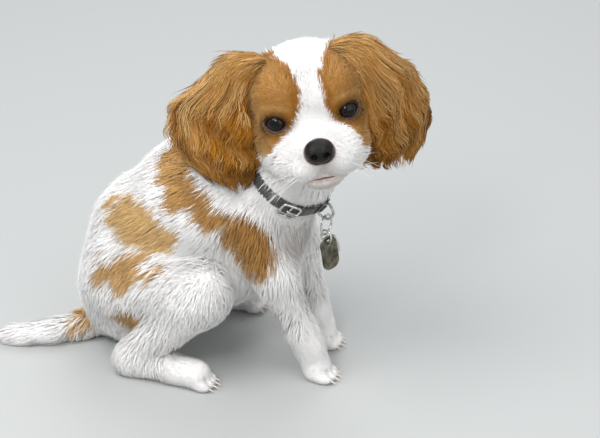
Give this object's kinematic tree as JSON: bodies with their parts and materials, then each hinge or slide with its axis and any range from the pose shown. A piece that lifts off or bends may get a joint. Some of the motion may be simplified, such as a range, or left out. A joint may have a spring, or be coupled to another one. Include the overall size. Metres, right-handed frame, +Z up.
{
  "type": "cavalier king charles spaniel puppy",
  "caption": "Sitting spaniel puppy with its head turned to one side, long hanging ears, a tail laid on the floor, and a collar with hanging tags.",
  "frame": {"origin": "middle of the footprint of the whole puppy, at floor level", "axes": "+Z up, +X the way the chest faces, +Y the puppy's left; the head is turned to the puppy's right"},
  "size_m": [0.2952, 0.1478, 0.2416],
  "materials": {
    "coat": "soft white hair with tan patches",
    "ear_coat": "silky chestnut hair",
    "skin": "bare dark skin of nose, lids and pads",
    "eye": "wet dark brown",
    "claw": "pale horn",
    "collar": "dark woven webbing",
    "steel": "satin",
    "tag": "worn dark grey"
  },
  "bodies": {
    "root": {"torso_front": "coat", "torso_rear": "coat", "neck": "coat", "head": "coat", "nose": "skin", "eye_right": "eye", "ear_right": "ear_coat", "foreleg_right": "coat", "hindleg_right": "coat", "eye_left": "eye", "ear_left": "ear_coat", "foreleg_left": "coat", "hindleg_left": "coat", "tail": "coat", "collar": "collar", "buckle": "steel", "d_ring": "steel", "tag_ring": "steel", "small_ring": "steel", "tag_dark": "tag", "tag_pale": "steel"}
  },
  "joints": []
}
